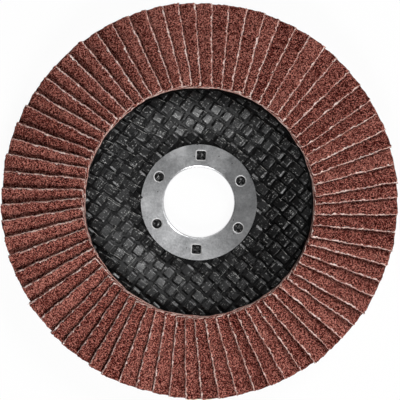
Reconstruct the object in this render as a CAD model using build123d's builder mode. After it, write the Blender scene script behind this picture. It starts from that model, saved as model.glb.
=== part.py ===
"""A conical flap disc for an angle grinder, 125 mm across with a 7/8 inch bore.

Frame: millimetres, +Z along the bore from the back to the abrasive side. The origin is the
centre of the bore on the hub's back face. The disc lies on its back, flaps upwards.
"""

import os
from math import asin, atan2, cos, degrees, radians, sin, sqrt, tan

from build123d import *

# ---------------------------------------------------------------- driving dimensions, mm
disc_diameter = 125.0  # over the exposed outer corners of the flaps
bore_diameter = 22.23  # seven eighths of an inch, for the grinder's flange

# backing plate, one moulded laminate
plate_diameter = 116.4
plate_thickness = 2.6
dish_foot_diameter = 45.0  # where the flat hub ends
dish_crest_diameter = 66.0  # where the flange begins
dish_depth = 5.4  # how far the hub lies behind the crest
dish_foot_bend = 8.0  # bend radii along the back face
dish_crest_bend = 5.0
flange_slope = 10.0  # degrees that the flange falls back towards the rim

# glass mesh of the plate's front, woven of flat rovings that stand proud where they lie on top
roving_pitch = 3.9
warp_heading = 48.0  # degrees from +X
weft_heading = -36.0
weft_bow = 2.5  # how far the dish has pulled the weft out of line at the adhesive bed
float_length = 2.7  # of the raised stretch where one roving lies over another
float_width = 2.5
float_rise = 0.38
float_root = 0.6  # how deep each float reaches into the laminate
float_lean = 0.25  # how much of the dish's slope the flat floats make up for
filled_margin = 1.2  # width of mesh next to the adhesive bed that its squeeze-out has filled

# centre ring, pressed from sheet steel
ring_diameter = 36.6
ring_sheet = 0.8
ring_recess = 0.3  # how deep the ring is pressed into the hub
mouth_bend = 0.55  # rolled edge where the ring turns down into its collar
lip_diameter = 26.4  # the collar is rolled out into this lip behind the plate
lip_thickness = 0.6
lip_sink = 0.15  # the lip stays this far short of the hub's back face
ring_edge_round = 0.25
hole_count = 6
hole_diameter = 3.05
square_hole_side = 2.9
square_hole_round = 0.5
square_hole_places = (1, 4)  # places on the hole circle that are square
hole_turn = 27.1  # degrees from +X of the first hole
hole_edge_break = 0.3

# abrasive flaps
flap_count = 72
flap_inner_diameter = 72.6  # over the exposed inner corners
flap_width = 14.0
flap_thickness = 0.8
flap_gap = 0.12  # least space between neighbouring flaps
flap_edge_offset = 4.0  # how far the exposed edge's line passes from the centre

# adhesive bed
bed_inner_diameter = 70.8
bed_margin = 0.7  # plate left bare outside the bed
bed_depth = 1.9
bed_foot = 0.4  # adhesive left under the flaps' low edges

# how unevenly the flaps lie, each within its own plane
lay_across = 0.55
lay_along = 0.2
lay_turn = 0.6  # degrees
lay_drift = (0.2, 0.4)  # the whole ring of flaps sits this far off the bore, in X and Y

# ---------------------------------------------------------------- sizes that follow
bore_radius = bore_diameter / 2
collar_radius = bore_radius + ring_sheet
ring_seat = plate_thickness - ring_recess
bed_inner = bed_inner_diameter / 2
bed_outer = plate_diameter / 2 - bed_margin

# The holes lie midway between the ring's rolled mouth and its rounded edge.
hole_circle_radius = (bore_radius + mouth_bend + ring_diameter / 2 - ring_edge_round) / 2

# Rovings of one set cross those of the other at this spacing.
crossing_spacing = roving_pitch / sin(radians(warp_heading - weft_heading))
float_reach = sqrt(float_length**2 + float_width**2) / 2
flange_tan = tan(radians(flange_slope))
flap_pitch = 360.0 / flap_count
flap_start = sqrt((flap_inner_diameter / 2) ** 2 - flap_edge_offset**2)
flap_end = sqrt((disc_diameter / 2) ** 2 - flap_edge_offset**2)
flap_length = (flap_end - flap_start) / cos(radians(flange_slope))

# Two neighbouring flap planes are (sin tilt * distance out - sin slope * distance across)
# * sin pitch apart. The tilt leaves room for a flap and its gap at the tightest place, the
# inner end of the low edge.
low_edge_across = flap_width - flap_edge_offset + lay_across
plane_spacing = (flap_thickness + flap_gap) / sin(radians(flap_pitch))
flap_tilt = degrees(
    asin((plane_spacing + sin(radians(flange_slope)) * low_edge_across) / flap_start)
)


def flange_height(radius):
    """Height of the flange's front face at a radius."""
    back = dish_depth - (radius - dish_crest_diameter / 2) * flange_tan
    return back + plate_thickness / cos(radians(flange_slope))


# The low edges stand on the bed's foot, so the exposed edges are this high at their inner end.
flap_rise = flap_width * sin(radians(flap_tilt)) + flap_thickness * cos(radians(flap_tilt))
flap_top = flange_height(flap_start) + bed_foot + flap_rise * cos(radians(flange_slope))


# ---------------------------------------------------------------- placing the flaps
def scatter(index, key):
    """An uneven but fixed value from -1 to 1 for one flap."""
    return 2 * ((index * index * 0.618034 + (index + key) * 0.414214) % 1.0) - 1


def flap_plane(index):
    """The plane of one flap's grain face.

    X runs outwards along the exposed edge and down the flange's slope, Y runs from the
    exposed edge to the low one, and Z is the flap's outward normal.
    """
    heading = radians(index * flap_pitch)
    slope = radians(flange_slope)
    tilt = radians(flap_tilt)
    outwards = Vector(cos(heading), sin(heading), 0)
    sideways = Vector(-sin(heading), cos(heading), 0)
    upwards = Vector(0, 0, 1)
    along = outwards * cos(slope) - upwards * sin(slope)
    lifted = outwards * sin(slope) + upwards * cos(slope)
    normal = lifted * cos(tilt) + sideways * sin(tilt)
    across = sideways * cos(tilt) - lifted * sin(tilt)
    corner = outwards * flap_start - sideways * flap_edge_offset + upwards * flap_top
    corner += along * (lay_along * scatter(index, 1)) + across * (lay_across * scatter(index, 2))
    corner += Vector(lay_drift[0], lay_drift[1], 0)
    return Plane(origin=corner, x_dir=along, z_dir=normal).rotated((0, 0, lay_turn * scatter(index, 3)))


flap_planes = [flap_plane(index) for index in range(flap_count)]


# ---------------------------------------------------------------- backing plate
def dish_course(lift):
    """Corner points and bend radii of the dished course, at a height off the plate's back face."""
    foot = (dish_foot_diameter / 2, 0.0)
    crest = (dish_crest_diameter / 2, dish_depth)
    rim = plate_diameter / 2
    rise = atan2(crest[1] - foot[1], crest[0] - foot[0])
    fall = -radians(flange_slope)
    points = [(0.0, lift)]
    for corner, before, after in ((foot, 0.0, rise), (crest, rise, fall)):
        reach = lift / cos((after - before) / 2)
        facing = (before + after) / 2
        points.append((corner[0] - reach * sin(facing), corner[1] + reach * cos(facing)))
    end = rim + plate_thickness
    height = crest[1] - (end - crest[0]) * flange_tan + lift / cos(fall)
    points.append((end, height))
    return points, [dish_foot_bend - lift, dish_crest_bend + lift]


def dish_layer(back, front, inner_radius, outer_radius):
    """Half section of a layer of the dished plate, between two heights off its back face."""
    with BuildSketch(Plane.XZ) as section:
        with BuildLine():
            back_points, back_bends = dish_course(back)
            front_points, front_bends = dish_course(front)
            near = FilletPolyline(*back_points, radius=back_bends)
            far = FilletPolyline(*front_points, radius=front_bends)
            Line(near @ 0, far @ 0)
            Line(near @ 1, far @ 1)
        make_face()
        with Locations(((inner_radius + outer_radius) / 2, dish_depth / 2)):
            Rectangle(outer_radius - inner_radius, 4 * disc_diameter, mode=Mode.INTERSECT)
    return section.sketch


def crossing(warp, weft):
    """Plan position of the crossing of two numbered rovings, with the weft bowed by the dish."""
    warp_way = Vector(1, 0, 0).rotate(Axis.Z, warp_heading)
    weft_way = Vector(1, 0, 0).rotate(Axis.Z, weft_heading)
    place = (weft_way * warp + warp_way * weft) * crossing_spacing
    bow = weft_bow * (place.dot(weft_way) / bed_inner) ** 2
    return place - weft_way.rotate(Axis.Z, 90) * bow


def float_plane(dish, warp, weft):
    """Plane at the root of the float over one crossing, with X along the roving that lies on top."""
    if (warp + weft) % 2 == 0:
        along = crossing(warp, weft + 1) - crossing(warp, weft - 1)
    else:
        along = crossing(warp + 1, weft) - crossing(warp - 1, weft)
    centre = crossing(warp, weft)
    plumb_line = Axis((centre.X, centre.Y, disc_diameter), (0, 0, -1))
    ground, slope_normal = dish.find_intersection_points(plumb_line)[0]
    normal = (slope_normal + Vector(0, 0, float_lean)).normalized()
    return Plane(origin=ground - normal * float_root, x_dir=along, z_dir=normal)


def float_places():
    """The crossings whose floats lie between the ring's edge and the filled margin."""
    inner = (ring_diameter + float_width) / 2
    outer = bed_inner - filled_margin - float_reach
    reach = int(outer / crossing_spacing) + 2
    for warp in range(-reach, reach + 1):
        for weft in range(-reach, reach + 1):
            if inner < crossing(warp, weft).length < outer:
                yield warp, weft


with BuildPart() as backing_plate:
    add(dish_layer(0, plate_thickness, collar_radius, plate_diameter / 2))
    revolve(axis=Axis.Z)
    with BuildSketch(*[float_plane(backing_plate.part, *place) for place in float_places()]):
        Rectangle(float_length, float_width)
    extrude(amount=float_root + float_rise)
    with BuildSketch(Plane.XY.offset(ring_seat)):
        Circle(ring_diameter / 2)
    extrude(amount=plate_thickness, mode=Mode.SUBTRACT)
    with BuildSketch(Plane.XY):
        Circle(lip_diameter / 2)
    extrude(amount=lip_sink + lip_thickness, mode=Mode.SUBTRACT)
backing_plate.part.label = "backing_plate"


# ---------------------------------------------------------------- centre ring
with BuildPart() as centre_ring:
    with BuildSketch(Plane.XZ):
        with BuildLine():
            Polyline(
                (bore_radius, lip_sink),
                (lip_diameter / 2, lip_sink),
                (lip_diameter / 2, lip_sink + lip_thickness),
                (collar_radius, lip_sink + lip_thickness),
                (collar_radius, ring_seat),
                (ring_diameter / 2, ring_seat),
                (ring_diameter / 2, ring_seat + ring_sheet),
                (bore_radius, ring_seat + ring_sheet),
                close=True,
            )
        ring_face = make_face()
        mouths = ring_face.vertices().group_by(Axis.X)[0]
        fillet(mouths, mouth_bend)
        rim_corner = ring_face.vertices().group_by(Axis.Y)[-1].sort_by(Axis.X)[-1]
        fillet(rim_corner, ring_edge_round)
    revolve(axis=Axis.Z)
    with BuildSketch(Plane.XY.offset(ring_seat)):
        for place in range(hole_count):
            heading = hole_turn + place * 360 / hole_count
            with PolarLocations(hole_circle_radius, 1, start_angle=heading):
                if place in square_hole_places:
                    RectangleRounded(square_hole_side, square_hole_side, square_hole_round)
                else:
                    Circle(hole_diameter / 2)
    extrude(amount=ring_sheet, mode=Mode.SUBTRACT)
    hole_edges = centre_ring.edges(Select.LAST).group_by(Axis.Z)[-1]
    chamfer(hole_edges, hole_edge_break)
centre_ring.part.label = "centre_ring"


# ---------------------------------------------------------------- adhesive bed
with BuildPart() as adhesive_bed:
    with BuildSketch(Plane.XZ):
        with BuildLine():
            Polyline(
                (bed_inner, flange_height(bed_inner)),
                (bed_outer, flange_height(bed_outer)),
                (bed_outer, flange_height(bed_outer) + bed_depth),
                (bed_inner, flange_height(bed_inner) + bed_depth),
                close=True,
            )
        make_face()
    revolve(axis=Axis.Z)
    with BuildSketch(*flap_planes):
        Rectangle(flap_length, flap_width, align=(Align.MIN, Align.MIN))
    extrude(amount=-flap_thickness, mode=Mode.SUBTRACT)
adhesive_bed.part.label = "adhesive_bed"


# ---------------------------------------------------------------- flaps, two opposite ones to a node
os.makedirs("parts", exist_ok=True)
export_step(backing_plate.part, "parts/backing_plate.step")
export_step(centre_ring.part, "parts/centre_ring.step")
export_step(adhesive_bed.part, "parts/adhesive_bed.step")
for pair in range(flap_count // 2):
    with BuildPart() as flap_pair:
        with BuildSketch(flap_planes[pair], flap_planes[pair + flap_count // 2]):
            Rectangle(flap_length, flap_width, align=(Align.MIN, Align.MIN))
        extrude(amount=-flap_thickness)
    flap_pair.part.label = f"flap_pair_{pair + 1:02d}"
    export_step(flap_pair.part, f"parts/{flap_pair.part.label}.step")
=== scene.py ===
# %% [markdown]
# # A flap disc, dressed for its portrait
#
# A flap disc is a ring of abrasive cloth flaps glued to a dished fibreglass plate, with a steel ring
# round the bore. The construction is already there: every solid arrives at its real size and place.
# What is left is how each surface looks, and that is what this lesson is about.
#
# The order is the one a photographer would follow: set up the camera and the light, mix the
# finishes, then dress the flaps, the plate and the ring one after the other.

# %% Load the solids
from math import cos, pi, radians, sin, tan

import bpy
import numpy as np
from mathutils import Matrix, Vector
from mathutils.bvhtree import BVHTree


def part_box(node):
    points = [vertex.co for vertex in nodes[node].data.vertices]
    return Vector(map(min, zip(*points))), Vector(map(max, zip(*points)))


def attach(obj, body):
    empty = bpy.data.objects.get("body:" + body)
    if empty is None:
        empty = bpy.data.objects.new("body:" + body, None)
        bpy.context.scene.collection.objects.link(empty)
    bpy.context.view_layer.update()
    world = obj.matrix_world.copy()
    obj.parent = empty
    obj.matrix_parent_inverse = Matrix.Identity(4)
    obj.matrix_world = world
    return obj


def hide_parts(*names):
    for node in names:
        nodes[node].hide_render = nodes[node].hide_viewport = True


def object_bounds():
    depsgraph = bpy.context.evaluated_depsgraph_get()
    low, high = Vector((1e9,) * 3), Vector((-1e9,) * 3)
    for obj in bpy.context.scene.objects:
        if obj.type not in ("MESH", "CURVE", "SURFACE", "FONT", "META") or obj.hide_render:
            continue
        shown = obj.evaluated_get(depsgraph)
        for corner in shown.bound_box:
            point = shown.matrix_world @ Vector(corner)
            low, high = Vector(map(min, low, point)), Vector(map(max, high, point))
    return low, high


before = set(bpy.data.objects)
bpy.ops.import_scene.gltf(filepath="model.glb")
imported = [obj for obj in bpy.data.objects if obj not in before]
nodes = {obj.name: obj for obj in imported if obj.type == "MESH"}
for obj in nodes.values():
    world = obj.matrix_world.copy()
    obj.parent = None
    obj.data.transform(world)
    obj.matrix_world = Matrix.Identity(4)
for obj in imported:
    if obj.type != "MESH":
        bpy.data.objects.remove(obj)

solid_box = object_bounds()
scene = bpy.context.scene
MM = 0.001
print("solids:", len(nodes), "box in mm:", [[round(v / MM, 1) for v in corner] for corner in solid_box])

# %% [markdown]
# ## Sizes that everything else is worked out from
#
# The outer radius, the height of the flaps and the radius of the ring are read off the solids' own
# boxes, so the finish follows if the disc ever changes size.

# %% Read the main sizes off the solids
def outer_radius(node):
    """Largest distance from the bore's axis that a node's box reaches along X or Y."""
    low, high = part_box(node)
    return max(high[0] - low[0], high[1] - low[1]) / 2


disc_radius = outer_radius("flap_pair_01")
disc_top = solid_box[1][2]
ring_radius = outer_radius("centre_ring")
ring_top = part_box("centre_ring")[1][2]
print("radii in mm: disc", round(disc_radius / MM, 1), "ring", round(ring_radius / MM, 1),
      "heights: disc", round(disc_top / MM, 1), "ring", round(ring_top / MM, 1))


# %% [markdown]
# ## Putting arrays into meshes
#
# Blender can build a mesh vertex by vertex, but a numpy array takes a whole grid at once, as a
# function of two parameters. Here `grid_faces` numbers the quads of one grid, and `make_piece` hands
# points and faces to Blender and gives the piece its finishes.

# %% Helpers for meshes made from arrays
def grid_faces(index, flip=False):
    """Quads between neighbouring entries of a 2-D array of vertex numbers."""
    corners = [index[:-1, :-1], index[1:, :-1], index[1:, 1:], index[:-1, 1:]]
    quads = np.stack(corners, axis=-1).reshape(-1, 4)
    return quads[:, ::-1] if flip else quads


def make_piece(name, points, quads, materials, slots=None, uv=None, tone=None, smooth=True):
    """A mesh object from arrays: points (n, 3) in metres, quads (m, 4), a material slot for each quad,
    and for each point a place on the map (along, across) and a tone."""
    mesh = bpy.data.meshes.new(name)
    mesh.from_pydata(points.tolist(), [], quads.tolist(), shade_flat=not smooth)
    for material in materials:
        mesh.materials.append(material)
    if slots is not None:
        mesh.polygons.foreach_set("material_index", np.asarray(slots, dtype=np.int32))
    if uv is not None:
        layer = mesh.uv_layers.new(name="along_across")
        layer.data.foreach_set("uv", uv[quads.ravel()].astype(np.float32).ravel())
    if tone is not None:
        mesh.attributes.new("tone", "FLOAT", "POINT").data.foreach_set("value", tone.astype(np.float32))
    mesh.validate()
    piece = bpy.data.objects.new(name, mesh)
    scene.collection.objects.link(piece)
    return piece


def stack_tubes(tubes):
    """Joins grids of points (n, m, 3), each closed round its second axis, into one mesh's arrays."""
    quads, offset = [], 0
    for tube in tubes:
        index = np.arange(tube.shape[0] * tube.shape[1]).reshape(tube.shape[:2]) + offset
        quads.append(grid_faces(np.concatenate([index, index[:, :1]], axis=1), flip=True))
        offset += index.size
    return np.concatenate([tube.reshape(-1, 3) for tube in tubes]), np.concatenate(quads)


def finish_piece(piece, record_slot, *replaced):
    """Hangs a piece on the disc's one body and hides the solids it stands for. The record slot is not used.
    """
    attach(piece, "root")
    if replaced:
        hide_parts(*replaced)
    else:
        print(piece.name, len(piece.data.polygons), "faces")
    return piece


print("a grid of 3 by 3 points has", len(grid_faces(np.arange(9).reshape(3, 3))), "quads")


# %% [markdown]
# Nothing on a real disc repeats exactly, but the picture must come out the same every time. A seeded
# generator gives both. `ripple` is a cheap smooth noise along a line: a sum of a few sine waves whose
# phases come from that generator.

# %% Seeded unevenness
chance = np.random.default_rng(72)


def ripple(along, wavelength, waves=4):
    """Smooth noise of about unit size: sines of nearly the given wavelength with random phases."""
    phases = chance.uniform(0, 2 * pi, waves)
    stretch = np.linspace(0.6, 1.7, waves)
    total = sum(np.sin(2 * pi * along * k / wavelength + p) for k, p in zip(stretch, phases))
    return total / np.sqrt(waves)


print("seeded generator:", type(chance).__name__)


# %% [markdown]
# ## Camera
#
# The disc is seen almost square on. A long lens from 0.6 metres away keeps the perspective mild, and
# a camera a few degrees off the axis shows a little more of the flaps' inner ends on one side. It
# looks at a point just off the bore's axis, so that the disc just fills a square frame.

# %% Place the camera
camera_distance = 0.62
camera_bearing, camera_height = radians(60), radians(87.5)
aim_right, aim_up = 0.5 * MM, 0.95 * MM
frame_width_at_disc = 2.010 * disc_radius


def way_towards(bearing, height):
    """Unit vector at a bearing round the axis and a height above the horizon."""
    return Vector((cos(height) * cos(bearing), cos(height) * sin(bearing), sin(height)))


aim = Vector((aim_right, aim_up, 0.6 * disc_top))
backwards = way_towards(camera_bearing, camera_height)
across = Vector((0, 1, 0)).cross(backwards).normalized()
camera_data = bpy.data.cameras.new("camera")
camera_data.lens = camera_data.sensor_width * camera_distance / frame_width_at_disc
camera = bpy.data.objects.new("camera", camera_data)
turned = Matrix((across, backwards.cross(across), backwards)).transposed().to_4x4()
camera.matrix_world = Matrix.Translation(aim + backwards * camera_distance) @ turned
scene.collection.objects.link(camera)
scene.camera = camera
print("lens in mm:", round(camera_data.lens, 1))


# %% [markdown]
# ## Wiring shader nodes
#
# Light and finishes are built from shader nodes. A few short helpers keep that readable: `put` adds any
# node, and the others add the kinds that come back all the time and hand on their output.

# %% Wiring helpers
def feed(tree, node, feeds):
    """Fills a node's inputs with sockets, which are linked, or plain values, which are set."""
    for key, value in feeds.items():
        if isinstance(value, bpy.types.NodeSocket):
            tree.links.new(value, node.inputs[key])
        else:
            node.inputs[key].default_value = value


def put(tree, kind, feeds=None, **settings):
    """Adds a node of a kind, sets its properties, and fills its inputs."""
    node = tree.nodes.new("ShaderNode" + kind)
    for key, value in settings.items():
        setattr(node, key, value)
    feed(tree, node, feeds or {})
    return node


def maths(tree, operation, *values):
    """The values combined by one operation, such as ADD."""
    return put(tree, "Math", dict(enumerate(values)), operation=operation).outputs[0]


def mix(tree, factor, first, second, kind="FLOAT"):
    """From the first at factor 0 to the second at factor 1: numbers, or colours where kind is RGBA."""
    node = put(tree, "Mix", {"Factor": factor, "A": first, "B": second}, data_type=kind)
    return node.outputs[2 if kind == "RGBA" else 0]


def rescale(tree, value, start=0.0, end=1.0, low=0.0, high=1.0, way="LINEAR"):
    """A value carried from the range start..end to the range low..high and held within it."""
    feeds = {"Value": value, "From Min": start, "From Max": end, "To Min": low, "To Max": high}
    return put(tree, "MapRange", feeds, interpolation_type=way).outputs[0]


def noise(tree, place, scale, detail, roughness=0.5):
    """Cloudy noise from 0 to 1, with so many lumps per metre."""
    feeds = {"Vector": place, "Scale": scale, "Detail": detail, "Roughness": roughness}
    return put(tree, "TexNoise", feeds).outputs["Fac"]


def seen_directly(tree):
    """1 for rays from the camera, a mirror or through glass, and 0 for rays that light a surface."""
    path = put(tree, "LightPath").outputs
    seen = maths(tree, "MAXIMUM", path["Is Camera Ray"], path["Is Glossy Ray"])
    return maths(tree, "MAXIMUM", seen, path["Is Transmission Ray"])


print("wiring helpers:", [helper.__name__ for helper in (feed, put, maths, mix, rescale, noise)])


# %% [markdown]
# ## Light and backdrop
#
# A product picture on white needs two kinds of light. A pale surround fills the shadows from every
# side, and two soft lamps, one at the bottom of the frame and one at its upper right, rake across the
# flaps, so that each raised edge shows. The white comes from the surround as the camera sees it, not
# from more light: the Light Path node tells a camera ray, which gets plain white, from a ray that
# lights a surface, which gets a quieter grey. Overhead, mirror rays find a dark ceiling, so flat gloss
# stays deep. At the upper right it ends at a pale wall, which brightens what leans that way.

# %% Surround
scene.view_settings.view_transform = "Standard"
fill_strength = 0.07
overhead_gloss, wall_gloss = 0.03, 0.80
wall_bearing = radians(52)
ceiling_end, wall_start = 0.04, 0.34    # sines of the angle towards the wall
horizon_low, horizon_high = 0.02, 0.16  # sines of the height where the white horizon ends

world = bpy.data.worlds.new("surround")
world.use_nodes = True
scene.world = world
tree = world.node_tree
tree.nodes.clear()
way = put(tree, "TexCoord").outputs["Generated"]
upwards = put(tree, "SeparateXYZ", {0: way}).outputs["Z"]
towards_wall = put(tree, "VectorMath", {0: way, 1: way_towards(wall_bearing, 0)},
                   operation="DOT_PRODUCT").outputs["Value"]
ceiling = rescale(tree, towards_wall, ceiling_end, wall_start, overhead_gloss, wall_gloss, "SMOOTHSTEP")
gloss = rescale(tree, upwards, horizon_low, horizon_high, 1.0, ceiling, "SMOOTHSTEP")
seen = mix(tree, put(tree, "LightPath").outputs["Is Glossy Ray"], 1.0, gloss)
strength = mix(tree, seen_directly(tree), fill_strength, seen)
background = put(tree, "Background", {"Color": (1, 1, 1, 1), "Strength": strength})
put(tree, "OutputWorld", {"Surface": background.outputs[0]})
print("surround:", world.name, "with", len(tree.nodes), "nodes")

# %% [markdown]
# Area lamps are soft because they are wide. Both stand at the same distance from the disc, so a
# bearing, a height and a power say all there is to say about each.

# %% Lamps
lamp_distance, lamp_width = 0.9, 0.36
lamps = {"lower_lamp": (radians(-92), radians(32), 8.3),
         "upper_right_lamp": (radians(47), radians(34), 6.6)}  # bearing, height and watts


def add_lamp(name, bearing, height, power):
    """A soft round lamp at a bearing and a height above the horizon, aimed at the disc's middle."""
    data = bpy.data.lights.new(name, "AREA")
    data.shape = "DISK"
    data.size = lamp_width
    data.energy = power
    lamp = bpy.data.objects.new(name, data)
    way = way_towards(bearing, height)
    lamp.location = way * lamp_distance
    lamp.rotation_euler = way.to_track_quat("Z", "Y").to_euler()
    scene.collection.objects.link(lamp)
    print(name, "at", [round(v, 2) for v in lamp.location], "m,", power, "W")


for name, (bearing, height, power) in lamps.items():
    add_lamp(name, bearing, height, power)

# %% [markdown]
# The floor lies at the height the disc stands on. It is nearly as white as the surround where the
# camera sees it, and an ordinary matt white where it catches light, so the shadow under the rim stays.

# %% Floor
floor_reach, floor_glow = 3.0, 0.95
floor_paint = bpy.data.materials.new("white_floor")
floor_paint.use_nodes = True
tree = floor_paint.node_tree
tree.nodes.clear()
matt = put(tree, "BsdfDiffuse", {"Color": (0.85, 0.85, 0.85, 1)})
white = put(tree, "Emission", {"Color": (1, 1, 1, 1), "Strength": 1.0})
share = rescale(tree, seen_directly(tree), high=floor_glow)
blend = put(tree, "MixShader", {0: share, 1: matt.outputs[0], 2: white.outputs[0]})
put(tree, "OutputMaterial", {"Surface": blend.outputs[0]})

corners = np.array([[-1, -1, 0], [1, -1, 0], [1, 1, 0], [-1, 1, 0]]) * floor_reach
floor = make_piece("floor", corners, np.array([[0, 1, 2, 3]]), [floor_paint], smooth=False)
print("floor:", 2 * floor_reach, "m square")


# %% [markdown]
# ## Effects that several finishes share
#
# Most surfaces of the disc are made of many small things: grains, threads, filaments. Each such
# effect is a node group with named inputs, built once and placed wherever it is needed.

# %% Node group helper
def node_group(name, inputs, outputs):
    """An empty shader group: its tree, the sockets of its inputs by name, and its output node.

    The first input is always the place, a vector. The others are numbers with a usual value.
    """
    tree = bpy.data.node_groups.new(name, "ShaderNodeTree")
    tree.interface.new_socket("Vector", in_out="INPUT", socket_type="NodeSocketVector")
    for label, usual in inputs.items():
        tree.interface.new_socket(label, in_out="INPUT", socket_type="NodeSocketFloat").default_value = usual
    for label in outputs:
        tree.interface.new_socket(label, in_out="OUTPUT", socket_type="NodeSocketFloat")
    print("group", name, "takes", list(inputs), "and gives", outputs)
    return tree, tree.nodes.new("NodeGroupInput").outputs, tree.nodes.new("NodeGroupOutput")


# %% [markdown]
# **Grain.** Abrasive cloth is covered with crushed mineral, each grain a slightly different colour.
# A Voronoi texture cuts space into cells, one cell a grain: its random colour gives each grain its
# own shade, and its distance field rounds each cell into a bump. A second, finer set fills the gaps.

# %% Group: grain
def grain_cells(tree, place, scale):
    """Cells of one size: the random shade of each, and a height that falls from the cell's middle."""
    cells = put(tree, "TexVoronoi", {"Vector": place, "Scale": scale})
    shade = put(tree, "SeparateColor", {"Color": cells.outputs["Color"]}).outputs["Red"]
    return shade, maths(tree, "SUBTRACT", 1.0, cells.outputs["Distance"])


fineness, fine_share = 2.1, 0.30
usual = {"Grains per metre": 2000.0, "Clumps per metre": 150.0, "Clumping": 0.35}
tree, given, result = node_group("packed_grain", usual, ["Shade", "Height"])
place, scale = given["Vector"], given["Grains per metre"]
coarse_shade, coarse_height = grain_cells(tree, place, scale)
fine_shade, fine_height = grain_cells(tree, place, maths(tree, "MULTIPLY", scale, fineness))
both = mix(tree, fine_share, coarse_shade, fine_shade)
height = mix(tree, fine_share, coarse_height, fine_height)
clumps = noise(tree, place, given["Clumps per metre"], 3.0, 0.6)
feed(tree, result, {"Shade": mix(tree, given["Clumping"], both, clumps),
                    "Height": maths(tree, "MULTIPLY", height, both)})
grain_group = tree


# %% [markdown]
# **Threads.** A roving is a bundle of fine glass threads that run one way. A noise that is stretched
# along the thread looks just like them.

# %% Group: threads
usual = {"Threads per metre": 3000.0, "Length ratio": 0.04}
tree, given, result = node_group("fine_threads", usual, ["Line"])
squeeze = put(tree, "CombineXYZ", {0: given["Length ratio"], 1: 1.0, 2: 1.0})
place = put(tree, "VectorMath", {0: given["Vector"], 1: squeeze.outputs[0]}, operation="MULTIPLY")
feed(tree, result, {"Line": noise(tree, place.outputs[0], given["Threads per metre"], 2.0, 0.55)})
thread_group = tree


# %% [markdown]
# **Blotches.** Zinc plate, resin and glue all have patches that are a little duller or cleaner than
# the rest. The group puts out a broad patch and a scatter of small dark specks.

# %% Group: blotches and specks
usual = {"Patches per metre": 120.0, "Specks per metre": 500.0, "Speck size": 0.12, "Speck share": 0.2}
tree, given, result = node_group("blotches_and_specks", usual, ["Patch", "Speck"])
cells = put(tree, "TexVoronoi", {"Vector": given["Vector"], "Scale": given["Specks per metre"]})
near = maths(tree, "LESS_THAN", cells.outputs["Distance"], given["Speck size"])
pick = put(tree, "SeparateColor", {"Color": cells.outputs["Color"]})
few = maths(tree, "LESS_THAN", pick.outputs["Green"], given["Speck share"])
feed(tree, result, {"Patch": noise(tree, given["Vector"], given["Patches per metre"], 4.0, 0.6),
                    "Speck": maths(tree, "MULTIPLY", near, few)})
blotch_group = tree


# %% [markdown]
# **Plain weave.** The uncoated side of the cloth and the back of the plate show threads that pass
# over and under each other. The product of two sine waves, one along each set of threads, rises at
# every other crossing and falls at the ones between, as a plain weave does.

# %% Group: plain weave
tree, given, result = node_group("plain_weave", {"Pitch": 1.0 * MM}, ["Height"])
turns = maths(tree, "DIVIDE", 2 * pi, given["Pitch"])
angle = put(tree, "VectorMath", {0: given["Vector"], "Scale": turns}, operation="SCALE")
waves = put(tree, "VectorMath", {0: angle.outputs[0]}, operation="SINE")
apart = put(tree, "SeparateXYZ", {0: waves.outputs[0]}).outputs
product = maths(tree, "MULTIPLY", apart["X"], apart["Y"])
feed(tree, result, {"Height": rescale(tree, product, start=-1.0)})
weave_group = tree


# %% [markdown]
# ## Finishes
#
# Each finish is one short cell. The colours are linear values, so they look darker here than on
# screen. A Color Ramp maps the shade of a grain or a thread to the colours found on the real thing.

# %% Helpers for finishes
def new_finish(name):
    """A material with an empty tree: itself, the tree and its Principled shader."""
    material = bpy.data.materials.new(name)
    material.use_nodes = True
    tree = material.node_tree
    tree.nodes.clear()
    shader = put(tree, "BsdfPrincipled")
    put(tree, "OutputMaterial", {"Surface": shader.outputs[0]})
    print("finish:", name)
    return material, tree, shader


def spot_on(tree):
    """The spot on the object, in metres."""
    return put(tree, "TexCoord").outputs["Object"]


def ramp(tree, factor, *stops):
    """A colour ramp through (position, (red, green, blue)) stops."""
    node = put(tree, "ValToRGB", {"Fac": factor})
    elements = node.color_ramp.elements
    while len(elements) < len(stops):
        elements.new(0.5)
    for element, (position, colour) in zip(elements, stops):
        element.position = position
        element.color = (*colour, 1.0)
    return node.outputs["Color"]


def bump(tree, shader, height, depth, strength=1.0):
    """Feeds a height into the shader's normal, as a relief of the given depth in metres."""
    relief = put(tree, "Bump", {"Height": height, "Distance": depth, "Strength": strength})
    feed(tree, shader, {"Normal": relief.outputs[0]})


def effect(tree, group, place, numbers):
    """A shared effect at a place, with its own numbers: its outputs by name."""
    return put(tree, "Group", {"Vector": place, **numbers}, node_tree=group).outputs


def own_map(tree):
    """The piece's own map: its distance along and across, in metres."""
    return put(tree, "UVMap", uv_map="along_across").outputs[0]


def from_edge(tree):
    """Distance from a flap's exposed edge or inner end, whichever is nearer. Below 0: down its cut."""
    apart = put(tree, "SeparateXYZ", {0: own_map(tree)}).outputs
    return maths(tree, "MINIMUM", apart["X"], apart["Y"])


# %% [markdown]
# **Abrasive face.** Brown-red aluminium oxide: dull, speckled, a little clumped. The exposed edge of
# each flap is worn through to the pale cloth, in a ragged line. Each flap carries a tone of its own
# in an attribute, because cloth from different rolls never matches quite.

# %% Finish: abrasive face
grain_dark = (0.010, 0.0004, 0.0002)
grain_brown = (0.066, 0.0080, 0.0055)
grain_red = (0.180, 0.034, 0.0245)
grain_pale = (0.58, 0.24, 0.19)
cloth_pale = (0.64, 0.41, 0.35)
cloth_white = (0.88, 0.76, 0.71)
worn_start, worn_end = 0.24 * MM, 0.10 * MM
worn_reach, worn_swing = 1.1 * MM, -2.0 * MM

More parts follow.
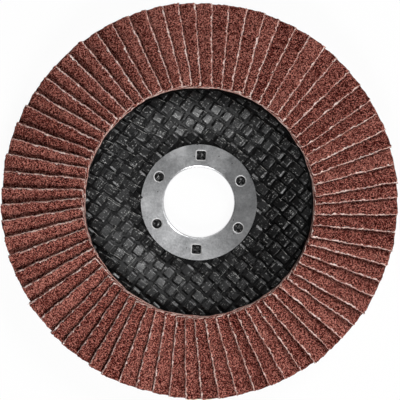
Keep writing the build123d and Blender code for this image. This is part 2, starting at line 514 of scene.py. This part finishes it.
abrasive_face, tree, shader = new_finish("abrasive_grain")
spot = spot_on(tree)
grain = effect(tree, grain_group, spot, {"Grains per metre": 4300.0, "Clumps per metre": 240.0,
                                         "Clumping": 0.12})
tone = put(tree, "Attribute", attribute_name="tone").outputs["Fac"]
shade = maths(tree, "ADD", grain["Shade"], tone)
speckle = ramp(tree, shade, (0.29, grain_dark), (0.44, grain_brown), (0.58, grain_red),
               (0.75, grain_pale))
ragged = noise(tree, spot, 650.0, 4.0, 0.72)
shift = maths(tree, "MULTIPLY_ADD", ragged, worn_swing, worn_reach)
worn = rescale(tree, maths(tree, "ADD", from_edge(tree), shift), worn_start, worn_end, way="SMOOTHSTEP")
bared = ramp(tree, ragged, (0.48, cloth_pale), (0.64, cloth_white))
feed(tree, shader, {"Base Color": mix(tree, worn, speckle, bared, "RGBA"), "Roughness": 0.82,
                    "Specular IOR Level": 0.05})
bump(tree, shader, grain["Height"], 0.22 * MM, 0.9)


# %% [markdown]
# ** Cut edge.** Where the cloth was cut, its threads show pale just under the grain. Deeper down the cut is painted dark: painted shade for the crack under each exposed edge. The piece's map runs on round the edge to negative values there, which hold the depth into the cloth, so a band can part the two.

# %% Finish: cut edge
# Painted shade: the deep part of each cut gets this dark colour, standing in for the shadow in the crack.
cut_painted_shade = (0.020, 0.008, 0.006)
cut_shade_start, cut_shade_end = -0.66 * MM, -0.82 * MM
cut_shade_swing = -0.5 * MM

cut_edge, tree, shader = new_finish("cut_edge")
spot = spot_on(tree)
fray = noise(tree, spot, 2600.0, 3.0, 0.65)
mottled = mix(tree, 0.35, fray, noise(tree, spot, 300.0, 1.0))
threads = ramp(tree, mottled, (0.34, grain_brown), (0.44, grain_pale), (0.54, cloth_pale),
               (0.66, cloth_white))
depth = maths(tree, "MULTIPLY_ADD", fray, cut_shade_swing, from_edge(tree))
cut_shade_mask = rescale(tree, depth, cut_shade_start, cut_shade_end, way="SMOOTHSTEP")
feed(tree, shader, {"Base Color": mix(tree, cut_shade_mask, threads, (*cut_painted_shade, 1), "RGBA"),
                    "Roughness": 0.9})
bump(tree, shader, fray, 0.25 * MM)


# %% [markdown]
# **Back of the cloth.** The side without grain is plain cotton, stiffened with glue. It shows only at
# the rim and from below, so the woven relief and two browns are enough.

# %% Finish: back of the cloth
cotton_brown, cotton_tan = (0.10, 0.040, 0.028), (0.30, 0.140, 0.095)
cotton_pitch = 0.55 * MM

cloth_back, tree, shader = new_finish("cloth_back")
height = effect(tree, weave_group, own_map(tree), {"Pitch": cotton_pitch})["Height"]
feed(tree, shader, {"Base Color": ramp(tree, height, (0.0, cotton_brown), (1.0, cotton_tan)),
                    "Roughness": 0.85})
bump(tree, shader, height, 0.12 * MM)


# %% [markdown]
# **Glass mesh and resin.** The plate is black phenolic resin over a mesh of glass rovings. The resin
# itself is half glossy, with soft hollows, so highlights break up instead of running smoothly round
# the dish.

# %% Finish: black resin
resin_black = (0.0012, 0.0012, 0.0014)
resin_grey = (0.002, 0.002, 0.0022)
glass_grey = (0.008, 0.008, 0.0083)

black_resin, tree, shader = new_finish("black_resin")
spot = spot_on(tree)
patch = effect(tree, blotch_group, spot, {"Patches per metre": 350.0})["Patch"]
grit = noise(tree, spot, 1500.0, 2.0, 0.60)
feed(tree, shader, {
    "Base Color": ramp(tree, grit, (0.46, resin_black), (0.57, resin_grey), (0.70, glass_grey)),
    "Roughness": rescale(tree, patch, low=0.36, high=0.60),
    "Specular IOR Level": 0.20})
bump(tree, shader, grit, 0.18 * MM, 0.8)


# %% [markdown]
# Filaments show through the resin of a roving as fine lines, some of them dry and pale. The lines show fully
# only on top of a crossing. Where the roving dives under its neighbour, its tone, which holds how far it is
# lifted, blends its colour towards black and fades the lines out: painted shade for the gaps between the
# pads.

# %% Finish: roving
glass_pale = (0.3, 0.3, 0.294)
kept_in_painted_shade = 0.45

glass_roving, tree, shader = new_finish("glass_roving")
spot = spot_on(tree)
line = effect(tree, thread_group, own_map(tree), {"Threads per metre": 2600.0, "Length ratio": 0.10})["Line"]
patch = effect(tree, blotch_group, spot, {"Patches per metre": 420.0})["Patch"]
grit = noise(tree, spot, 2200.0, 1.0, 0.6)
wetted = ramp(tree, maths(tree, "MULTIPLY", line, grit), (0.25, resin_black), (0.29, resin_grey),
              (0.335, glass_grey), (0.39, glass_pale))
# Painted shade: the lower the roving lies, the more its colour is blended to black.
lifted = put(tree, "Attribute", attribute_name="tone").outputs["Fac"]
shown = rescale(tree, lifted, low=kept_in_painted_shade)
feed(tree, shader, {"Base Color": mix(tree, shown, (*resin_black, 1), wetted, "RGBA"),
                    "Roughness": rescale(tree, patch, 0.3, 0.7, 0.32, 0.44),
                    "Specular IOR Level": 0.56})
bump(tree, shader, mix(tree, 0.3, line, grit), 0.14 * MM)


# %% [markdown]
# The back of the plate was pressed against a smooth mould, so there the same mesh shows only as a
# shallow relief under the resin. A bump does for that: turned to the two directions of the mesh, by a
# dot product with each, it needs no extra geometry.

# %% Finish: back of the plate
roving_pitch = 3.9 * MM
warp_heading, weft_heading = radians(48), radians(-36)
resin_worn = (0.030, 0.030, 0.031)
pressed_depth = 0.45 * MM

woven_back, tree, shader = new_finish("woven_back")
spot = spot_on(tree)
along = [put(tree, "VectorMath", {0: spot, 1: way_towards(heading, 0)},
             operation="DOT_PRODUCT").outputs["Value"] for heading in (warp_heading, weft_heading)]
turned = put(tree, "CombineXYZ", dict(enumerate(along))).outputs[0]
weave = effect(tree, weave_group, turned, {"Pitch": 2 * roving_pitch})["Height"]
pads = rescale(tree, weave, 0.38, 0.72, way="SMOOTHSTEP")
line = effect(tree, thread_group, turned, {"Threads per metre": 1700.0, "Length ratio": 0.4})["Line"]
height = mix(tree, 0.45, pads, line)
colour = ramp(tree, height, (0.20, resin_black), (0.50, resin_grey), (0.80, resin_worn))
feed(tree, shader, {"Base Color": colour, "Roughness": 0.40})
bump(tree, shader, height, pressed_depth)


# %% [markdown]
# **Zinc-plated steel.** Thin rolled sheet with a dull, cloudy plating. Its sheen wanders in broad
# patches and a few dark specks sit in it. The pressed ring is a very shallow cup, which tips its face
# a little inwards. As a relief that is a height in step with the distance from the axis.

# %% Finish: zinc-plated ring
zinc_dull, zinc_bright, zinc_speck = (0.38, 0.385, 0.395), (0.76, 0.765, 0.775), (0.10, 0.095, 0.09)
ring_cup = tan(radians(10))
zinc_pitting = 0.06 * MM

zinc_plate, tree, shader = new_finish("zinc_plate")
spot = spot_on(tree)
blotch = effect(tree, blotch_group, spot, {"Patches per metre": 160.0, "Specks per metre": 900.0,
                                           "Speck size": 0.16, "Speck share": 0.10})
grit = noise(tree, spot, 1500.0, 4.0, 0.7)
cloudy = mix(tree, 0.45, blotch["Patch"], grit)
plating = ramp(tree, cloudy, (0.36, zinc_dull), (0.64, zinc_bright))
feed(tree, shader, {"Base Color": mix(tree, blotch["Speck"], plating, (*zinc_speck, 1), "RGBA"),
                    "Roughness": rescale(tree, blotch["Patch"], low=0.28, high=0.42),
                    "Metallic": 0.92})
apart = put(tree, "SeparateXYZ", {0: spot}).outputs
flat = put(tree, "CombineXYZ", {0: apart["X"], 1: apart["Y"]}).outputs[0]
radius = put(tree, "VectorMath", {0: flat}, operation="LENGTH").outputs["Value"]
height = maths(tree, "MULTIPLY_ADD", radius, ring_cup, maths(tree, "MULTIPLY", grit, zinc_pitting))
bump(tree, shader, height, 1.0)


# %% [markdown]
# Along the rims where the punch broke through, and along the rolled edge, a paler, less metallic finish
# stands in for the highlight that these narrow faces catch all round: a painted highlight. That needs no
# map.

# %% Finish: painted highlight on the ring's edges
edge_highlight_pale = (0.62, 0.62, 0.62)
painted_edge_highlight, tree, shader = new_finish("painted_edge_highlight")
feed(tree, shader, {"Base Color": (*edge_highlight_pale, 1), "Metallic": 0.25, "Roughness": 0.5})


# %% [markdown]
# **Single threads.** A bare glass filament is pale in places and blackened by resin elsewhere. A cotton
# thread from the cloth's cut edge is off-white. Both are mottled by the same short recipe.

# %% Finish: single threads
glass_dry = (0.50, 0.50, 0.48)


def make_thread(name, roughness, *stops):
    """A thread whose colour wanders along it through the given stops."""
    material, tree, shader = new_finish(name)
    wander = noise(tree, spot_on(tree), 700.0, 3.0)
    feed(tree, shader, {"Base Color": ramp(tree, wander, *stops), "Roughness": roughness})
    return material


dry_glass = make_thread("dry_glass", 0.4, (0.40, resin_black), (0.50, glass_grey), (0.62, glass_dry))
bare_thread = make_thread("bare_thread", 0.9, (0.40, cloth_pale), (0.60, cloth_white))


# %% [markdown]
# ## Where each flap lies
#
# The solids of the flaps are plain sheets, and each knows its own place. Their corners give a frame
# to build in: one axis along the exposed edge, one across the sheet, one out of its face. The axes
# of a box are the directions in which its corners spread most, and the singular value routine of
# numpy finds them.

# %% Read each flap's frame from its solid
def sheet_frame(corners):
    """Corner of the grain face, unit axes (along, across, out) and sizes of one flat sheet."""
    middle = corners.mean(axis=0)
    axes = np.linalg.svd(corners - middle)[2]
    along = axes[0] * np.sign(axes[0, :2] @ middle[:2])
    outward = axes[2] * np.sign(axes[2, 2])
    across = np.cross(outward, along)
    spread = [np.ptp((corners - middle) @ axis) for axis in (along, across, outward)]
    start = middle - along * spread[0] / 2 - across * spread[1] / 2 + outward * spread[2] / 2
    return start, np.array([along, across, outward]), np.array(spread)


def flap_frames(node):
    """The frames of the two flaps in one node, which lie on either side of the bore's axis."""
    mesh = nodes[node].data
    points = np.empty(len(mesh.vertices) * 3)
    mesh.vertices.foreach_get("co", points)
    points = np.unique(points.reshape(-1, 3).round(7), axis=0)
    furthest = points[np.argmax(np.hypot(points[:, 0], points[:, 1])), :2]
    side = points[:, :2] @ furthest
    return [sheet_frame(points[side > 0]), sheet_frame(points[side < 0])]


pairs = sorted(name for name in nodes if name.startswith("flap_pair"))
frames = {name: flap_frames(name) for name in pairs}
flap_size = frames[pairs[0]][0][2]
print("a flap measures", (flap_size / MM).round(2), "mm")


# %% [markdown]
# ## The flaps
#
# A flap is a slab whose exposed edge was cut with a knife and waves a little. Towards the rim it sags
# onto the next flap. A lattice of points fills the slab and only those on its skin are kept, so all
# six faces share their borders and the piece is closed. The lattice is close along the exposed edge
# and wide where the next flap covers it.

# %% The skin of a lattice
def lattice_skin(counts):
    """Point indices and quads on the outside of a box lattice, and which of its sides each quad is on.

    Sides: 0 top, 1 bottom, 2 exposed edge, 3 low edge, 4 inner end, 5 outer end.
    """
    number = np.arange(np.prod(counts)).reshape(counts)
    sides = [(number[:, :, 0], False), (number[:, :, -1], True), (number[:, 0, :], True),
             (number[:, -1, :], False), (number[0, :, :], False), (number[-1, :, :], True)]
    quads = [grid_faces(index, flip) for index, flip in sides]
    side = np.repeat(np.arange(len(sides)), [len(q) for q in quads])
    kept, quads = np.unique(np.concatenate(quads), return_inverse=True)
    return kept, quads.reshape(-1, 4), side


along_stations = np.linspace(0, 1, 80)
across_distances = np.array([0, 0.10, 0.22, 0.38, 0.60, 0.95, 1.5, 2.3, 3.3, 4.4, 5.6, 7.2, 9.2, 11.5]) * MM
across_stations = np.append(across_distances / flap_size[1], 1.0)
depth_stations = np.array([0, 0.15, 0.38, 0.68, 1.0])
stations = (along_stations, across_stations, depth_stations)
skin, skin_quads, skin_side = lattice_skin([len(axis) for axis in stations])
s_grid, v_grid, d_grid = (axis.ravel()[skin] for axis in np.meshgrid(*stations, indexing="ij"))
print("a flap has", len(skin_quads), "faces")


# %% [markdown]
# Each fault of the flap is one term that is added to the flat slab: a size times a ripple, and a fade
# that keeps it near the edge, the end or the corner where it belongs.

# %% One flap's shape
wave_size, wave_length = 0.10 * MM, 11 * MM
rag_size, rag_length = 0.13 * MM, 1.7 * MM
end_rag_size, end_rag_length = 0.11 * MM, 1.2 * MM
lift_size, lift_length = 0.07 * MM, 13 * MM
swell_size, swell_length = 0.03 * MM, 6 * MM
undercut_size, rolled_size = 0.15 * MM, 0.26 * MM
sag_range = worn_range = (0.1, 0.5)


def flap_points(start, axes, size):
    """Points of one flap: its flat slab, plus a wavy ragged exposed edge that lifts a little, uneven
    ends, one worn corner and a sagging outer part. The cut leans outwards with depth, as a blade
    leaves it."""
    along, across, out = s_grid * size[0], v_grid * size[1], -d_grid * size[2]

    def fade(reach):
        return np.exp(-across / (reach * MM))

    wave = wave_size * ripple(along, wave_length) * fade(5)
    rag = rag_size * ripple(along, rag_length, 6) * fade(0.5)
    undercut = undercut_size * d_grid * fade(1.5)
    end_rag = end_rag_size * ripple(across, end_rag_length, 5) * np.abs((2 * s_grid - 1) ** 9)
    sag = chance.uniform(*sag_range) * MM * s_grid**2 * fade(6)
    lift = lift_size * (1 + ripple(along, lift_length)) * fade(0.5)
    rolled = rolled_size * fade(0.30) * (1 - d_grid) ** 2
    swell = swell_size * ripple(along, swell_length) * (d_grid == 0)
    worn_corner = chance.uniform(*worn_range) * MM * s_grid**12 * fade(2.5)
    local = [along + end_rag - worn_corner, across + wave * (1 - v_grid) + rag - undercut,
             out - sag + swell + lift - rolled]
    return start + np.stack(local, axis=-1) @ axes


print("a flap's shape moves", len(s_grid), "points")


# %% [markdown]
# Each solid of the construction holds two opposite flaps, so each new piece does too, and takes its
# place. Its map is measured on the flat sheet, which tells the finishes how far the edge is.

# %% Build the pairs of flaps
side_finish = np.array([0, 2, 1, 1, 1, 1])  # which finish each side of the lattice gets
tone_spread = 0.05


def build_flap_pair(node):
    """Both flaps of one node as one piece, mapped by the distance along and across each flap."""
    points, quads, tones, maps = [], [], [], []
    for start, axes, size in frames[node]:
        quads.append(skin_quads + len(skin) * len(points))
        points.append(flap_points(start, axes, size))
        exposed_edges.append((points[-1][(v_grid == 0) & (d_grid == 0)], axes))
        tones.append(np.full(len(skin), chance.uniform(-tone_spread, tone_spread)))
        depth = d_grid * size[2]
        maps.append(np.stack([s_grid * size[0] - depth * (s_grid == 0),
                              v_grid * size[1] - depth * (v_grid == 0)], axis=-1))
    piece = make_piece(node.replace("pair", "cloth"), np.concatenate(points), np.concatenate(quads),
                       [abrasive_face, cut_edge, cloth_back], np.tile(side_finish[skin_side], 2),
                       np.concatenate(maps), np.concatenate(tones))
    return finish_piece(piece, "abrasive_cloth", node)


exposed_edges = []
flap_pieces = [build_flap_pair(node) for node in pairs]
print("flap pieces:", len(flap_pieces), "faces in all:", sum(len(p.data.polygons) for p in flap_pieces))


# %% [markdown]
# The knife also left thread ends that stick out of the edge in small white tufts. Each is a thin
# tapered tube: it starts on the edge, runs along it for a bit, and curls away from it.

# %% Frayed threads
fray_radius, fray_taper = 0.095 * MM, 0.6
three_round = np.linspace(0, 2 * pi, 3, endpoint=False)  # bearings of a three-sided tube's corners


def fray_edge(edge, axes, count):
    """Thread ends along one exposed edge (n, 3), as tapered three-sided tubes of four rings."""
    along, across, out = axes
    steps = np.linspace(0, 1, 4)[:, None]
    radius = fray_radius * (1.0 - fray_taper * steps)
    ring = np.cos(three_round)[None, :, None] * across + np.sin(three_round)[None, :, None] * out
    for place in chance.uniform(0.03, 0.995, count):
        root = np.array([np.interp(place, along_stations, edge[:, k]) for k in range(3)])
        for _ in range(chance.integers(1, 4)):
            reach = chance.uniform(0.25, 0.95) * MM
            lean = chance.uniform(-1, 1)
            way = along * lean - across * chance.uniform(0.05, 0.5) + out * chance.uniform(0.05, 0.45)
            curl = (across * chance.uniform(-0.3, 0.3) + out * chance.uniform(-0.3, 0.1)) * steps**2
            line = root + (way * steps + curl) * reach
            yield line[:, None, :] + ring * radius[:, :, None]


tufts = [tube for edge, axes in exposed_edges for tube in fray_edge(edge, axes, chance.integers(4, 11))]
points, quads = stack_tubes(tufts)
finish_piece(make_piece("frayed_threads", points, quads, [bare_thread]), "abrasive_cloth")
print("thread ends:", len(tufts))


# %% [markdown]
# ## The front of the plate
#
# The rovings follow the dish, so its height must be known at every radius. Rays dropped onto the
# plate's solid round a circle measure it: the lowest hit is the ground level of the resin.

# %% Measure the dish
ray_height = 0.05
ray_bearings = np.linspace(0.1, 2 * pi, 24, endpoint=False)
plate_faces = BVHTree.FromObject(nodes["backing_plate"], bpy.context.evaluated_depsgraph_get())


def ground_height(radius):
    """Height of the plate's face at a radius: the lowest hit of rays dropped round the circle."""
    starts = [Vector((radius * cos(a), radius * sin(a), ray_height)) for a in ray_bearings]
    hits = [plate_faces.ray_cast(start, Vector((0, 0, -1)))[0] for start in starts]
    return min((hit.z for hit in hits if hit is not None), default=np.nan)


bed_inner = min(vertex.co.xy.length for vertex in nodes["adhesive_bed"].data.vertices)
dish_radii = np.linspace(ring_radius + 0.4 * MM, bed_inner + 1.5 * MM, 90)
dish_front = np.array([ground_height(radius) for radius in dish_radii])
dish_slope = np.gradient(dish_front, dish_radii)
print("dish in mm: hub", round(dish_front[0] / MM, 2), "crest", round(np.nanmax(dish_front) / MM, 2))


# %% [markdown]
# A plain weave is easy to write down once its crossings are numbered. Warp and weft are two sets of
# parallel rovings. A roving of one set is followed by letting the number of the other set run on as a
# fraction, so one short function gives both the crossings and the courses between them. The dish has
# pulled the weft into a slight bow.

# %% Where the rovings run
weft_bow = 2.5 * MM
crossing_spacing = roving_pitch / sin(warp_heading - weft_heading)
warp_way = np.array([cos(warp_heading), sin(warp_heading)])
weft_way = np.array([cos(weft_heading), sin(weft_heading)])
weft_normal = np.array([-weft_way[1], weft_way[0]])


def crossing(warp, weft):
    """Plan position (..., 2) at fractional numbers of warp and weft: two steps, less the bow's parabola."""
    place = (np.multiply.outer(warp, weft_way) + np.multiply.outer(weft, warp_way)) * crossing_spacing
    bow = weft_bow * (place @ weft_way / bed_inner) ** 2
    return place - bow[..., None] * weft_normal


last = int(bed_inner / crossing_spacing) + 2  # the rovings are numbered from -last to last
print("crossings between centre and bed along one roving:", round(bed_inner / crossing_spacing, 1))


# %% [markdown]
# Over a crossing the roving that lies on top makes a flat raised pad, about as long as it is wide.
# Beyond the pad it dives under its neighbour. The pads were pressed flatter than the dish's slope, so
# each is a small plane of its own, and no two tip quite alike.

# %% One roving
crossings_across = 2 * last + 3
pad_rise = 0.54 * MM + 0.11 * MM * chance.uniform(-1, 1, (crossings_across, crossings_across))
pad_tilt = 0.055 * chance.uniform(-1, 1, (crossings_across, crossings_across, 2))
pad_lean = 0.25
pad_end, dive_end = 0.31, 0.52  # how far from the crossing, as shares of the spacing
mesh_start = ring_radius + 0.2 * MM
half_period = np.array([0, 0.14, 0.25, pad_end, 0.35, 0.39, 0.43, 0.48, dive_end, 0.72, 1.0])


def smooth_step(value, start, end):
    """0 below start, 1 above end, with a smooth climb between."""
    t = np.clip((value - start) / (end - start), 0, 1)
    return t * t * (3 - 2 * t)


def first_top(is_warp, number):
    """Number, 0 or 1, of the first crossing where a roving lies on top: every second one follows."""
    return (number + (not is_warp)) % 2


def courses(is_warp, outer):
    """Stretches of a set's rovings from the ring to a radius: the roving's number, the fractional numbers
    along it, its middle line and the line's normal."""
    steps = np.unique(np.concatenate([half_period, 2 - half_period]))[:-1]
    repeated = np.concatenate([steps + 2 * k for k in range(-last, last)])
    for number in range(-last, last + 1):
        along = repeated + first_top(is_warp, number)
        along = along[np.abs(along) <= last]
        own = np.full(len(along), number)
        line = crossing(own, along) if is_warp else crossing(along, own)
        way = np.gradient(line, axis=0)
        way /= np.linalg.norm(way, axis=1, keepdims=True)
        inside = np.abs(np.hypot(*line.T) - (mesh_start + outer) / 2) < (outer - mesh_start) / 2
        cuts = np.flatnonzero(np.diff(inside.astype(int))) + 1
        for part in np.split(np.arange(len(along)), cuts):
            if inside[part[0]] and len(part) > 3:
                yield number, along[part], line[part], np.stack([-way[part, 1], way[part, 0]], axis=1)


def pad_height(is_warp, number, along, flat):
    """Height of a roving's top at flat points (n, m, 2), and how far it is lifted there, from 0 to 1.

    The nearest crossing where it lies on top gives a plane: the dish's height there, its slope made a
    little flatter, a tilt and a rise of its own. Away from it the height returns to the dish's ground.
    """
    parity = first_top(is_warp, number)
    top = 2 * np.round((along - parity) / 2).astype(int) + parity
    lifted = 1 - smooth_step(np.abs(along - top), pad_end, dive_end)
    own = np.full(len(along), number)
    warp, weft = (own, top) if is_warp else (top, own)
    pad = (warp + last + 1, weft + last + 1)
    centre = crossing(warp, weft)
    radius = np.hypot(*centre.T)
    slope = np.interp(radius, dish_radii, dish_slope)
    slope = slope / (1 + pad_lean * np.sqrt(1 + slope**2))
    gradient = slope[:, None] * centre / radius[:, None] + pad_tilt[pad]
    plane = np.interp(radius, dish_radii, dish_front) + pad_rise[pad]
    plane = plane[:, None] + np.einsum("nmk,nk->nm", flat - centre[:, None, :], gradient)
    ground = np.interp(np.hypot(flat[..., 0], flat[..., 1]), dish_radii, dish_front)
    return ground + lifted[:, None] * (plane - ground), lifted


print("pads rise in mm:", round(pad_rise.min() / MM, 2), "to", round(pad_rise.max() / MM, 2))


# %% [markdown]
# A roving's section is a flat strap: an ellipse pushed out towards a rectangle, carried along the
# course. All the rovings of a set make one piece.

# %% Weave the rovings
roving_width, roving_depth = 2.66 * MM, 0.46 * MM
width_swing, width_length = 0.05, 9 * MM
section = np.linspace(0, 2 * pi, 14, endpoint=False)
section_across = np.sign(np.cos(section)) * np.abs(np.cos(section)) ** 0.32
section_up = np.sign(np.sin(section)) * np.abs(np.sin(section)) ** 0.62
map_shift = np.array([0.0137, 0.0311])  # moves the threads' pattern from one roving to the next
mesh_end = bed_inner + 0.8 * MM
sets = (("rising", True), ("falling", False))


def weave_rovings(is_warp, outer):
    """Points, quads, map and lift of one set of rovings: the section, carried along each course."""
    tubes, maps, tones = [], [], []
    for number, along, line, normal in courses(is_warp, outer):
        distance = along * crossing_spacing
        wide = roving_width / 2 * (1 + width_swing * ripple(distance, width_length, 3))
        across = section_across[None, :] * wide[:, None]
        flat = line[:, None, :] + across[:, :, None] * normal[:, None, :]
        top, lifted = pad_height(is_warp, number, along, flat)
        height = top + (section_up[None, :] - 1) * roving_depth / 2
        tubes.append(np.concatenate([flat, height[..., None]], axis=-1))
        here = np.stack([np.broadcast_to(distance[:, None], across.shape), across], axis=-1)
        maps.append((here + number * map_shift).reshape(-1, 2))
        # The lift goes to the finish as the tone, which sets the painted shade in the dives.
        tones.append(np.broadcast_to(lifted[:, None], across.shape).ravel())
    points, quads = stack_tubes(tubes)
    return points, quads, np.concatenate(maps), np.concatenate(tones)


for label, is_warp in sets:
    points, quads, maps, tones = weave_rovings(is_warp, mesh_end)
    piece = make_piece(f"front_rovings_{label}", points, quads, [glass_roving], uv=maps, tone=tones)
    finish_piece(piece, "glass_laminate")


# %% [markdown]
# Single filaments have come loose from the rovings and lie on them, pale where the resin hasn't wetted them.
# They follow the same courses near an edge, as thin three-sided tubes. One long pale filament also runs
# along the side of nearly every weft roving that faces the upper right lamp: a painted highlight for the
# roving's edge, which catches that lamp.

# %% Loose filaments
filament_radius, filament_rest = 0.075 * MM, 0.02 * MM
filaments_per_roving, fewest_points = 2, 8
sway_size, sway_length = 0.10 * MM, 6 * MM


def lay_filaments(is_warp, outer):
    """Thin tubes that lie on each roving near its edges."""
    around = np.cos(three_round)[None, :] * filament_radius
    above = np.sin(three_round)[None, :] * filament_radius
    tubes = []
    for number, along, line, normal in courses(is_warp, outer):
        for turn in range(filaments_per_roving):
            # the long one lies on the weft's side towards the upper right lamp: a painted highlight for the
            # roving's edge
            edge_highlight_strand = turn == 0 and not is_warp
            begin, end = (0, len(along)) if edge_highlight_strand else np.sort(chance.integers(0, len(along), 2))
            if end - begin < fewest_points:
                continue
            part = slice(begin, end)
            side = chance.choice([-1, 1]) * chance.uniform(0.30, 0.52) * roving_width
            side = chance.uniform(0.46, 0.52) * roving_width if edge_highlight_strand else side
            sway = side + sway_size * ripple(along[part] * crossing_spacing, sway_length, 3)
            flat = line[part, None, :] + (sway[:, None] + around)[:, :, None] * normal[part, None, :]
            height = pad_height(is_warp, number, along[part], flat)[0] + above + filament_rest
            tubes.append(np.concatenate([flat, height[..., None]], axis=-1))
    return stack_tubes(tubes)


for label, is_warp in sets:
    points, quads = lay_filaments(is_warp, bed_inner)
    finish_piece(make_piece(f"loose_filaments_{label}", points, quads, [dry_glass]), "glass_laminate")


# %% [markdown]
# ## Solids that keep their shape
#
# The plate, the ring and the bed of adhesive have their true form already. They only need their
# finishes, which go into the material slots of each solid. The plate has one for its front and one
# for every face that looks down.

# %% Paint the solids
downward = -0.3


def paint(node, *finishes):
    """Gives a solid its finishes, of which the first is the one that all its faces get."""
    mesh = nodes[node].data
    mesh.materials.clear()
    for finish in finishes:
        mesh.materials.append(finish)
    print(node, "has", [finish.name for finish in finishes])
    return mesh


paint("adhesive_bed", black_resin)
for polygon in paint("backing_plate", black_resin, woven_back).polygons:
    if polygon.normal.z < downward:
        polygon.material_index = 1

# %% [markdown]
# The rims of the ring's holes and its outer edge are the narrow faces that lean between flat and
# upright. Picking the ring's faces by that lean finds them all. The upright faces between the bore
# and the edge are the walls of the holes: sorted by bearing, they fall into one run for each hole,
# and the middle of each run is the hole's centre.

# %% Paint a highlight on the ring's edges and find its holes
ring_mesh = paint("centre_ring", zinc_plate, painted_edge_highlight)
bore_radius = min(vertex.co.xy.length for vertex in ring_mesh.vertices)
margin, sheet_depth = 1.2 * MM, 0.8 * MM
upright, level = 0.2, 0.95  # a face's normal along Z: less than upright is a wall, more than level is flat
hole_gap = radians(20)


def split_by_bearing(points):
    """Plan points (n, 2) as one array for each run of bearings, parted by the gaps between the holes."""
    points = np.array(sorted(set(points), key=lambda point: np.arctan2(point[1], point[0])))
    bearings = np.arctan2(points[:, 1], points[:, 0])
    starts = np.flatnonzero(np.diff(bearings, prepend=bearings[-1] - 2 * pi) > hole_gap)
    return np.split(np.roll(points, -starts[0], axis=0), (starts - starts[0])[1:])


wall_points = []
for polygon in ring_mesh.polygons:
    radius, lean = polygon.center.xy.length, polygon.normal.z
    if upright < lean < level and radius > bore_radius + margin:
        # these narrow faces get the pale finish: a painted highlight
        polygon.material_index = 1
    in_sheet = polygon.center.z > ring_top - sheet_depth
    if abs(lean) < upright and bore_radius + margin < radius < ring_radius - margin and in_sheet:
        wall_points += [ring_mesh.vertices[k].co.xy.to_tuple() for k in polygon.vertices]
holes = split_by_bearing(wall_points)
hole_centres = np.array([(hole.min(axis=0) + hole.max(axis=0)) / 2 for hole in holes])
hole_reach = max(np.hypot(*(holes[0] - hole_centres[0]).T))
print("holes:", len(hole_centres), "radius in mm:", round(hole_reach / MM, 2))


# %% [markdown]
# Through each hole a bit of the mesh under the ring shows. A small round patch fills it: two crossing
# sets of rovings as a product of two sines, in the finish of the mesh.

# %% Mesh in the holes
patch_depth, patch_relief = 0.72 * MM, 0.16 * MM
patch_turn = 2 * pi / (2.4 * MM)
rings, bearings = np.linspace(0.02, 1, 12) * hole_reach, np.linspace(0, 2 * pi, 28)

# A patch is a disc, by distance from the hole's centre and bearing. Its height is the weave's.
disc = np.stack([np.outer(rings, np.cos(bearings)), np.outer(rings, np.sin(bearings))], axis=-1)
flat = hole_centres[:, None, None, :] + disc
first, second = flat @ warp_way, flat @ weft_way
weave = np.sin(patch_turn * first) * np.sin(patch_turn * second + hole_centres[:, 0, None, None] / MM)
height = ring_top - patch_depth + patch_relief * weave
points = np.concatenate([flat, height[..., None]], axis=-1).reshape(-1, 3)
quads = np.concatenate([grid_faces(sheet) for sheet in np.arange(len(points)).reshape(height.shape)])
maps = np.stack([first, second], axis=-1).reshape(-1, 2)
piece = make_piece("mesh_in_ring_holes", points, quads, [glass_roving], uv=maps, tone=np.ones(len(points)))
finish_piece(piece, "glass_laminate")
